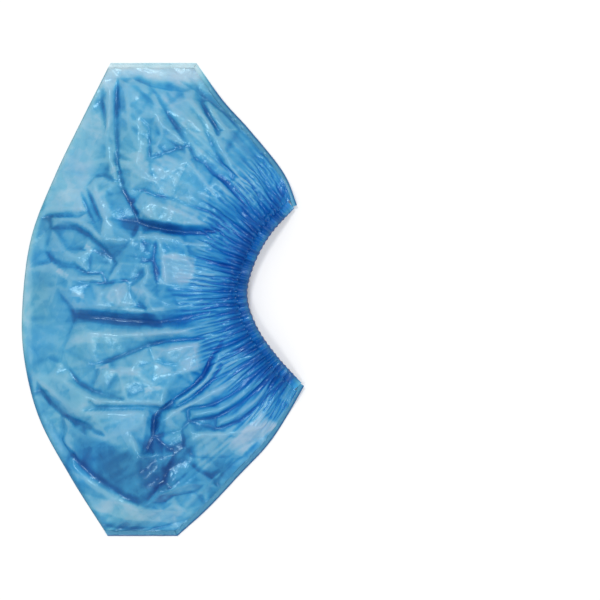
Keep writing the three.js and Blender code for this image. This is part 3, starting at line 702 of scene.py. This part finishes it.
def relax(points, rests, rounds, pull, bend, shear=0.15, push=0.6):
    """Lets a film grid buckle until its steps have their rest lengths, with pinned edges."""
    along, across = rests
    weight = np.ones(points.shape[:2] + (1,))
    weight[0] = weight[-1] = weight[:, 0] = weight[:, -1] = 0
    target = points[..., 2].copy()
    slant = np.hypot((along[:, 1:] + along[:, :-1]) / 2, (across[1:] + across[:-1]) / 2)
    every = slice(None)
    down, up = slice(None, -1), slice(1, None)
    for _ in range(rounds):
        points[..., 2] += pull * weight[..., 0] * (target - points[..., 2])
        for a, b in alternate(points.shape[0]):
            pull_together(points, weight, (a, every), (b, every), along[a], 1.0, push)
            pull_together(points, weight, (a, down), (b, up), slant[a], shear, shear)
            pull_together(points, weight, (a, up), (b, down), slant[a], shear, shear)
        for a, b in alternate(points.shape[1]):
            pull_together(points, weight, (every, a), (every, b), across[:, a], 1.0, push)
        inner = points[1:-1, 1:-1]
        inner += bend * (neighbours(points) / 4 - inner)
        points[..., 2] = np.maximum(points[..., 2], LOWEST)


def finer(grid):
    """Twice as many cells along both axes, on smooth curves through the points."""
    for axis in (0, 1):
        q = np.moveaxis(grid, axis, 0)
        ends = np.concatenate([2 * q[:1] - q[1:2], q, 2 * q[-1:] - q[-2:-1]])
        doubled = np.empty((2 * len(q) - 1,) + q.shape[1:])
        doubled[::2] = q
        doubled[1::2] = (9 * (ends[1:-2] + ends[2:-1]) - ends[:-3] - ends[3:]) / 16
        grid = np.moveaxis(doubled, 0, axis)
    return grid


def film_layer(upper):
    """One layer of the film, relaxed from its main folds down to its fine gathers."""
    seed = 0 if upper else 100
    share = 1.0 if upper else LOWER_GATHERING
    rounds = ROUNDS

    layer = Layer(COARSE_COLUMNS, COARSE_ROWS, upper)
    z = layer.creased() + share * gathers(layer.s, layer.t, WIDE_GATHERS, seed + 3) * layer.free
    points = np.dstack([layer.plan, z])
    layer.pin(points)
    rests = layer.rests(lambda t: np.minimum(0.25 + 0.85 * smooth((t - 0.3) / 0.6), 1))
    relax(points, rests, rounds[0], pull=0.02, bend=0.04)

    points = finer(points)
    layer = Layer(2 * COARSE_COLUMNS, 2 * COARSE_ROWS, upper)
    points[..., 2] += share * gathers(layer.s, layer.t, NARROW_GATHERS, seed + 13) * layer.free
    layer.settle(points, 0.6)
    layer.pin(points)
    rests = layer.rests(lambda t: np.minimum(0.35 + 0.6 * smooth((t - 0.5) / 0.5), 1))
    relax(points, rests, rounds[1], pull=0.02, bend=0.03)

    points = finer(points)
    layer = Layer(4 * COARSE_COLUMNS, 4 * COARSE_ROWS, upper)
    points[..., 2] += ruffle(layer.s, upper, layer.t)
    layer.settle(points, 0.75)
    layer.pin(points)
    rests = layer.rests(lambda t: 0.6 + 0.25 * smooth((t - 0.75) / 0.25))
    relax(points, rests, rounds[2], pull=0.03, bend=0.04)
    layer.settle(points, 0.85)
    z = points[..., 2]
    for _ in range(SOFTENING_ROUNDS):
        z[1:-1, 1:-1] += SOFTENING * layer.far[1:-1, 1:-1] * (neighbours(z) / 4 - z[1:-1, 1:-1])
    z[1:-1, 1:-1] = np.maximum(z[1:-1, 1:-1], LOWEST + (LAYER_GAP if upper else 0))
    return layer, points


def folded(points):
    """How far the film turns at each point, in radians: above 0 in a valley, below 0 on a ridge."""
    z = points[..., 2]
    turn = np.zeros_like(z)
    along = np.diff(z, axis=0) / np.linalg.norm(np.diff(points, axis=0), axis=-1)
    across = np.diff(z, axis=1) / np.linalg.norm(np.diff(points, axis=1), axis=-1)
    turn[1:-1] += np.diff(along, axis=0)
    turn[:, 1:-1] += np.diff(across, axis=1)
    for _ in range(3):
        turn[1:-1, 1:-1] = turn[1:-1, 1:-1] / 3 + neighbours(turn) / 6
    return 3 * turn


# Thicknesses of film seen through: those of plain film, and what is added near the mouth, at
# the hem, on slopes, by the tones of wide and of fine facets, in folds (painted shade in
# valleys, painted highlights on ridges), and here and there
PLAIN_DEPTH = 1.38
MOUTH_DEPTH = 1.2
HEM_DEPTH = 1.8
SLOPE_DEPTH = 0.3
WIDE_TONE, FINE_TONE = 0.25, 0.6
FOLD_SHADE_AND_HIGHLIGHT = 2.1
UNEVEN_DEPTH = 0.4

# Below these depths the film grows paler more slowly: where its ridges are painted paler as highlights,
# and over its paler patches
HIGHLIGHT_KNEE = 1.0
PALE_DEPTH = 0.8
THINNEST = 0.15


def held_above(depth, knee, share):
    """The same depths, but below the knee only a share of the way further down."""
    return np.where(depth < knee, knee + share * (depth - knee), depth)


def film_depth_and_painted_light(layer, points):
    """How many thicknesses of film a look straight through meets, at each point, with painted shade in
    valleys and painted highlights on ridges and pale patches.
    """
    near_mouth = smooth(1 - layer.to_mouth / (70 * MM))
    at_hem = smooth(1 - layer.to_mouth / (20 * MM))
    normal = np.cross(np.gradient(points, axis=0), np.gradient(points, axis=1))
    normal /= np.linalg.norm(normal, axis=-1, keepdims=True) + 1e-15
    steep = 1 / np.clip(np.abs(normal[..., 2]), 0.35, 1) - 1
    _, wide_tone = layer.facets()
    _, fine_tone = layer.crumpled()
    sharpness = 1 + 0.7 * spots(layer.x, layer.y, 11, 53, 2)
    patched_laps_and_highlights = patch_laps_and_highlights(layer.x, layer.y) if layer.upper else 0 * layer.x
    # Over the pale patches the painted fold shade and highlights are weaker
    flat = 1 - 0.7 * np.clip(-patched_laps_and_highlights, 0, 1)
    depth = PLAIN_DEPTH + MOUTH_DEPTH * near_mouth + HEM_DEPTH * at_hem + SLOPE_DEPTH * steep
    depth += (WIDE_TONE * wide_tone + FINE_TONE * fine_tone) * (1 - near_mouth)
    # Painted shade in valleys and painted highlights on ridges, from how far the film turns
    depth += (FOLD_SHADE_AND_HIGHLIGHT - 0.9 * at_hem) * sharpness * flat * np.clip(folded(points), -0.3, 0.5)
    depth += laps_along(layer.x, layer.y, layer.creases)
    depth += UNEVEN_DEPTH * spots(layer.x, layer.y, 16, 55, 3)
    at_fold = smooth(1 - layer.to_fold / (4 * MM))
    toe_side = smooth((layer.y + 60 * MM) / (40 * MM))
    depth += at_fold * (0.9 - 1.5 * toe_side)
    depth = held_above(held_above(depth, HIGHLIGHT_KNEE, 0.35) + patched_laps_and_highlights, PALE_DEPTH, 0.5)
    return np.clip(depth, THINNEST, DEEPEST)


def film_dullness_and_shade(layer, depth):
    """How dull the film's colour is, from 0 where it lies in many layers at the mouth to 1: mottled,
    greyer where the film lies deep as painted grey shade, and dull along the fold.
    """
    near_mouth = smooth(1.1 - layer.to_mouth / (80 * MM))
    mottled = 0.5 + 0.5 * spots(layer.x, layer.y, 26, 57, 3)
    # Deep places turn greyer: painted grey shade
    mottled += 0.3 * np.clip(depth - 2, 0, 2)
    at_fold = smooth(1 - layer.to_fold / (5 * MM))
    return np.clip(np.maximum(mottled * (1 - near_mouth), at_fold), 0, 1)


# Meshes


def grid_mesh(name, points, values=None, closed_rows=False):
    """A mesh piece from a grid of points, smooth shaded, with named values on its points."""
    columns, rows = points.shape[:2]
    index = np.arange(columns * rows).reshape(columns, rows)
    if closed_rows:
        index = np.concatenate([index, index[:, :1]], axis=1)
    quads = np.stack([index[:-1, :-1], index[1:, :-1], index[1:, 1:], index[:-1, 1:]], axis=-1)
    quads = quads.reshape(-1, 4)
    mesh = bpy.data.meshes.new(name)
    mesh.vertices.add(columns * rows)
    mesh.vertices.foreach_set("co", points.reshape(-1).astype(np.float32))
    mesh.loops.add(quads.size)
    mesh.loops.foreach_set("vertex_index", quads.reshape(-1).astype(np.int32))
    mesh.polygons.add(len(quads))
    mesh.polygons.foreach_set("loop_start", np.arange(0, quads.size, 4, dtype=np.int32))
    mesh.polygons.foreach_set("use_smooth", np.ones(len(quads), bool))
    for key, value in (values or {}).items():
        attribute = mesh.attributes.new(key, "FLOAT", "POINT")
        attribute.data.foreach_set("value", value.reshape(-1).astype(np.float32))
    mesh.update(calc_edges=True)
    mesh.validate()
    piece = bpy.data.objects.new(name, mesh)
    bpy.context.scene.collection.objects.link(piece)
    return piece


def film_sheet():
    """The whole film: lower layer, sole fold and upper layer as one sheet."""
    upper_layer, upper = film_layer(True)
    lower_layer, lower = film_layer(False)
    lower[1:-1, 1:-1, 2] = np.minimum(lower[1:-1, 1:-1, 2], upper[1:-1, 1:-1, 2] - LAYER_GAP)
    lower[..., 2] = np.maximum(lower[..., 2], LOWEST)

    def joined(below, above):
        return np.concatenate([below[:, ::4][:, ::-1], above[:, 1:]], axis=1)

    # The depths hold the film's thicknesses and also its painted shade and highlights
    depths_with_painted_light = film_depth_and_painted_light(lower_layer, lower), film_depth_and_painted_light(upper_layer, upper)
    dull = joined(film_dullness_and_shade(lower_layer, depths_with_painted_light[0]), film_dullness_and_shade(upper_layer, depths_with_painted_light[1]))
    return grid_mesh("film_sheet", joined(lower, upper), {"depth": joined(*depths_with_painted_light), "dull": dull})


def mouth_edge(steps):
    """The line of the mouth in even steps: its points, its direction inwards, and its shares."""
    _, mouth, *_ = outline_lines(WELD_WIDTH - LAP, 0)
    edge = resample(mouth, steps + 1)
    return edge, directions(edge)[:, ::-1] * (-1, 1), np.linspace(0, 1, steps + 1)


def hem(name, upper, steps=920, sides=20):
    """A hem of the mouth: film folded round the elastic, ruffled by the same gathers."""
    edge, normal, s = mouth_edge(steps)
    turn = np.linspace(0, 2 * math.pi, sides, endpoint=False)
    half_thick = (HEM_THICK / 2 - HEM_SPARE) * (1 - PRESSED * tab_share(s))
    flat = np.sign(np.cos(turn)) * np.abs(np.cos(turn)) ** 0.6
    tall = np.sign(np.sin(turn)) * np.abs(np.sin(turn)) ** 0.8
    inset = HEM_WIDTH / 2 * (1 - flat)
    wave = hem_wave(s, upper, inset[None])
    puff = 1 + 0.25 * noise(s * 120, 0 * s, 61 if upper else 67)
    z = hem_centre(s, upper)[:, None] + wave + (half_thick * puff)[:, None] * tall[None]
    edge_wave = EDGE_WAVE * ruffle(s, upper)[:, None] / (HEM_GATHERS.height * MM)
    plan = edge[:, None] + normal[:, None] * (inset[None] + edge_wave)[..., None]
    z = np.maximum(z, LOWEST)
    outermost = smooth(1 - inset / (0.5 * MM))[None]
    welded = smooth(1 - np.abs(inset - 1.3 * MM) / (1.2 * MM))[None]
    depth = 4.8 + 0.9 * outermost - 1.2 * welded - 2.0 * tab_share(s)[:, None]
    depth = depth + 0.8 * noise(s * 60, 0 * s, 71 if upper else 73)[:, None] + 0 * z
    dull = np.clip(0.9 * (outermost + welded), 0, 1) + 0 * z
    return grid_mesh(name, np.dstack([plan, z]), {"depth": depth, "dull": dull}, closed_rows=True)


def elastic_band(name, upper, steps=460):
    """The elastic strip inside a hem, flat in section, wavy as the hem is."""
    edge, normal, s = mouth_edge(steps)
    # Its section, as shares of half its width and half its thickness
    ring = ((-1, -0.5), (-0.96, 0.6), (-0.8, 1), (0.8, 1), (0.96, 0.6), (1, -0.5), (0.8, -1), (-0.8, -1))
    across, high = np.array(ring).T[:, None]
    pressed = 1 - 0.6 * tab_share(s)[:, None]
    wave = hem_wave(s, upper, HEM_WIDTH / 2)
    plan = edge[:, None] + normal[:, None] * (HEM_WIDTH / 2 + ELASTIC_WIDTH / 2 * across)[..., None]
    z = hem_centre(s, upper)[:, None] + wave + ELASTIC_THICK / 2 * pressed * high
    return grid_mesh(name, np.dstack([plan, z]), closed_rows=True)


def seam(name, toe):
    """A welded end: a thin pressed strip along the seam and the blunt end, with a bead."""
    outer = outline_lines(0, 0)
    heel_line = np.vstack([outer[5], outer[0][1:]])
    toe_line = np.vstack([outer[2], outer[3][1:]])[::-1]
    line = toe_line if toe else heel_line
    at = lengths_along(line)
    steps = int(at[-1] / (0.7 * MM))
    line = resample(line, steps + 1)
    seam_length = lengths_along(outer[2] if toe else outer[0])[-1]
    t = 1 - (at[-1] - np.linspace(0, at[-1], steps + 1)) / seam_length
    normal = directions(line)[:, ::-1] * ((1, -1) if toe else (-1, 1))
    z = seam_height(np.clip(t, 0, 1))
    wander = 0.25 * MM * noise(np.linspace(0, 60, steps + 1), np.zeros(steps + 1), 5 if toe else 6, 2)
    # Its section in millimetres: inwards from the outer edge, and up
    profile = (
        (0.0, 0.0), (0.15, 0.32), (0.45, 0.45), (0.8, 0.32), (1.1, 0.12), (2.0, 0.16), (2.6, 0.24),
        (3.2, 0.16), (3.5, 0.0), (3.2, -0.14), (2.0, -0.14), (1.1, -0.12), (0.8, -0.25), (0.45, -0.36),
        (0.15, -0.25),
    )
    across, high = np.array(profile).T[:, None] * MM
    plan = line[:, None] + normal[:, None] * (across + wander[:, None] * (across > 0.9 * MM))[..., None]
    # Its first section is cut along the sole fold
    at_fold = outer[4][5] - outer[4][0] if toe else outer[4][-6] - outer[4][-1]
    plan[0] = line[0] + across[0][:, None] * at_fold / abs(at_fold @ normal[0])
    heights = np.maximum(z[:, None] + high + wander[:, None], 0.05 * MM)
    bead = np.clip(1 - np.abs(across - 0.45 * MM) / (0.6 * MM), 0, 1) + np.zeros_like(heights)
    depth = (2.3 + 2.4 * bead) * (1 - 0.92 * smooth((plan[..., 1] - 132 * MM) / (20 * MM)))
    values = {"depth": depth, "dull": np.ones_like(depth)}
    return grid_mesh(name, np.dstack([plan, heights]), values, closed_rows=True)


# Materials

# Colour of the film at each number of thicknesses seen through, where it is clear and where
# it is dull; the dull colours also give the grey of painted shade
FILM_COLOURS = (
    (0.0, (0.80, 0.93, 0.98)),
    (0.8, (0.36, 0.74, 0.93)),
    (1.5, (0.17, 0.61, 0.88)),
    (2.3, (0.06, 0.47, 0.82)),
    (3.2, (0.015, 0.32, 0.74)),
    (4.2, (0.005, 0.20, 0.64)),
    (5.2, (0.005, 0.13, 0.50)),
    (6.0, (0.003, 0.09, 0.42)),
)
DULL_COLOURS = (
    (0.0, (0.82, 0.92, 0.95)),
    (0.8, (0.34, 0.71, 0.80)),
    (1.5, (0.17, 0.52, 0.67)),
    (2.3, (0.09, 0.38, 0.58)),
    (3.2, (0.045, 0.25, 0.46)),
    (4.2, (0.03, 0.155, 0.36)),
    (5.2, (0.02, 0.10, 0.28)),
    (6.0, (0.012, 0.07, 0.22)),
)

# How many thicknesses the colour varies by from place to place, how far the pattern of the
# finest wrinkles is bent, and how much of the light shines through the film
PATCHINESS = 1.0
WRINKLE_WARP = 0.012
GLOW = 0.25


def new_node(tree, kind, inputs=None, **settings):
    """A shader node with its settings, and its inputs given a value or linked to a socket."""
    node = tree.nodes.new("ShaderNode" + kind)
    for key, value in settings.items():
        setattr(node, key, value)
    for key, value in (inputs or {}).items():
        if isinstance(value, bpy.types.NodeSocket):
            tree.links.new(value, node.inputs[key])
        else:
            node.inputs[key].default_value = value
    return node


def new_material(name):
    material = bpy.data.materials.new(name)
    material.use_nodes = True
    material.node_tree.nodes.clear()
    return material, material.node_tree


def film_ramp(tree, share, colours, power):
    """Colour of the film at a share of its deepest, as a ramp."""
    ramp = new_node(tree, "ValToRGB", {0: share})
    stops = ramp.color_ramp.elements
    while len(stops) < len(colours):
        stops.new(1)
    for stop, (value, colour) in zip(stops, colours):
        stop.position = value / DEEPEST
        stop.color = (*(channel ** power for channel in colour), 1)
    return ramp.outputs[0]


def film_material(name, opacity, roughness, bump_height, coat):
    material, tree = new_material(name)
    place = new_node(tree, "TexCoord").outputs["Object"]
    # depth holds thicknesses of film and, on the film sheet, painted shade and highlights; dull holds
    # mottling and, on the film sheet, painted grey shade
    depth = new_node(tree, "Attribute", attribute_name="depth").outputs["Fac"]
    dull = new_node(tree, "Attribute", attribute_name="dull").outputs["Fac"]

    # Share of the deepest that is seen through, uneven from place to place
    patches = new_node(tree, "TexNoise", {"Vector": place, "Scale": 60, "Detail": 4}).outputs["Fac"]
    uneven = {0: patches, 1: PATCHINESS, 2: depth}
    vary = new_node(tree, "Math", uneven, operation="MULTIPLY_ADD").outputs[0]
    scaled = {0: vary, 1: 1 / DEEPEST, 2: -PATCHINESS / 2 / DEEPEST}
    share = new_node(tree, "Math", scaled, operation="MULTIPLY_ADD").outputs[0]
    through = film_ramp(tree, share, FILM_COLOURS, 0.5)
    clear_body = film_ramp(tree, share, FILM_COLOURS, 1.0)
    dull_body = film_ramp(tree, share, DULL_COLOURS, 1.0)
    # Inputs 6 and 7 and output 2 of a mix node are its colours
    body = new_node(tree, "Mix", {0: dull, 6: clear_body, 7: dull_body}, data_type="RGBA").outputs[2]

    # The finest wrinkles, as a bump
    streaks = new_node(tree, "TexNoise", {"Vector": place, "Scale": 120, "Detail": 4}).outputs["Color"]
    bent = {0: streaks, 1: (WRINKLE_WARP,) * 3, 2: place}
    warp = new_node(tree, "VectorMath", bent, operation="MULTIPLY_ADD").outputs[0]
    creases = new_node(tree, "TexVoronoi", {"Vector": warp, "Scale": 200}).outputs["Distance"]
    relief = {"Strength": 0.5, "Distance": bump_height, "Height": creases}
    bump = new_node(tree, "Bump", relief).outputs[0]

    # Glossy film that lets some light through, and partly clear
    surface = {
        "Base Color": body,
        "Normal": bump,
        "Roughness": roughness,
        "Specular IOR Level": 0.9,
        "Specular Tint": (0.55, 0.87, 1.0, 1),
        "Coat Weight": coat,
        "Coat Roughness": 0.15,
    }
    shader = new_node(tree, "BsdfPrincipled", surface).outputs[0]
    glow = new_node(tree, "BsdfTranslucent", {"Color": body, "Normal": bump}).outputs[0]
    lit = new_node(tree, "MixShader", {0: GLOW, 1: shader, 2: glow}).outputs[0]
    clear = new_node(tree, "BsdfTransparent", {"Color": through}).outputs[0]
    mixed = new_node(tree, "MixShader", {0: opacity, 1: clear, 2: lit}).outputs[0]
    new_node(tree, "OutputMaterial", {"Surface": mixed})
    return material


def elastic_material():
    material, tree = new_material("elastic_strip")
    place = new_node(tree, "TexCoord").outputs["Object"]
    weave = new_node(tree, "TexWave", {"Vector": place, "Scale": 700, "Distortion": 1.5}).outputs["Fac"]
    ramp = new_node(tree, "ValToRGB", {0: weave})
    ramp.color_ramp.elements[0].color = (0.55, 0.66, 0.74, 1)
    ramp.color_ramp.elements[1].color = (0.8, 0.87, 0.92, 1)
    bump = new_node(tree, "Bump", {"Distance": 0.1 * MM, "Height": weave}).outputs[0]
    surface = {"Base Color": ramp.outputs[0], "Normal": bump, "Roughness": 0.8}
    shader = new_node(tree, "BsdfPrincipled", surface).outputs[0]
    new_node(tree, "OutputMaterial", {"Surface": shader})
    return material


def floor_material():
    material, tree = new_material("pale_floor")
    surface = {"Base Color": (0.93, 0.93, 0.93, 1), "Roughness": 0.9, "Specular IOR Level": 0.1}
    shader = new_node(tree, "BsdfPrincipled", surface).outputs[0]
    new_node(tree, "OutputMaterial", {"Surface": shader})
    return material


# The camera looks straight down. The cover lies in the left half of the picture.
PICTURE_WIDTH = 391.6 * MM
PICTURE_PIXELS = 600
ORIGIN_PIXEL = (162.5, 299.5)
PIXEL = PICTURE_WIDTH / PICTURE_PIXELS
LENS_MM, SENSOR_MM = 85, 36
camera_data = bpy.data.cameras.new("camera")
camera_data.lens = LENS_MM
camera_data.sensor_width = SENSOR_MM
camera_data.clip_end = 20
camera = bpy.data.objects.new("camera", camera_data)
distance = PICTURE_WIDTH * LENS_MM / SENSOR_MM
right = (PICTURE_PIXELS / 2 - ORIGIN_PIXEL[0]) * PIXEL
up = (ORIGIN_PIXEL[1] - PICTURE_PIXELS / 2) * PIXEL
camera.location = (right, up, distance + 5 * MM)
bpy.context.scene.collection.objects.link(camera)
bpy.context.scene.camera = camera

# The pieces and what they stand for
film = film_material("film", opacity=0.6, roughness=0.24, bump_height=0.5 * MM, coat=0.15)
hem_film = film_material("hem_film", opacity=0.8, roughness=0.3, bump_height=0.2 * MM, coat=0.3)
welded_film = film_material("welded_film", opacity=0.7, roughness=0.4, bump_height=0.1 * MM, coat=0.2)
elastic = elastic_material()

sheet = film_sheet()
pieces = [
    (sheet, film, "film", ("film_pouch",)),
    (hem("mouth_hem_upper", True), hem_film, "hem_film", ("hem_upper",)),
    (hem("mouth_hem_lower", False), hem_film, "hem_film", ("hem_lower",)),
    (elastic_band("elastic_band_upper", True), elastic, "elastic", ("elastic_upper",)),
    (elastic_band("elastic_band_lower", False), elastic, "elastic", ("elastic_lower",)),
    (seam("toe_seam", True), welded_film, "welded_film", ("toe_weld",)),
    (seam("heel_seam", False), welded_film, "welded_film", ("heel_weld",)),
]
for piece, material, slot, nodes in pieces:
    piece.data.materials.append(material)
    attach(piece, "root")
    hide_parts(*nodes)

# Floor and light
FLOOR_REACH = 12.0
floor_mesh = bpy.data.meshes.new("floor")
corners = [(FLOOR_REACH * a, FLOOR_REACH * b, 0) for a, b in ((-1, -1), (1, -1), (1, 1), (-1, 1))]
floor_mesh.from_pydata(corners, [], [(0, 1, 2, 3)])
floor = bpy.data.objects.new("floor", floor_mesh)
bpy.context.scene.collection.objects.link(floor)
floor.data.materials.append(floor_material())


def soft_sun(name, turn, tilt, strength, spread):
    """A distant soft light, turn degrees round from +X and tilt degrees off the vertical."""
    data = bpy.data.lights.new(name, "SUN")
    data.energy = strength
    data.angle = math.radians(spread)
    lamp = bpy.data.objects.new(name, data)
    lamp.rotation_euler = (0, math.radians(tilt), math.radians(turn))
    bpy.context.scene.collection.objects.link(lamp)


soft_sun("key_light", turn=110, tilt=25, strength=1.0, spread=13)
soft_sun("right_light", turn=15, tilt=27, strength=0.65, spread=14)
soft_sun("near_light", turn=-105, tilt=26, strength=0.55, spread=14)

world = bpy.data.worlds.new("soft_room")
world.use_nodes = True
world.node_tree.nodes["Background"].inputs["Color"].default_value = (1, 1, 1, 1)
world.node_tree.nodes["Background"].inputs["Strength"].default_value = 0.5
bpy.context.scene.world = world
bpy.context.scene.view_settings.view_transform = "Standard"
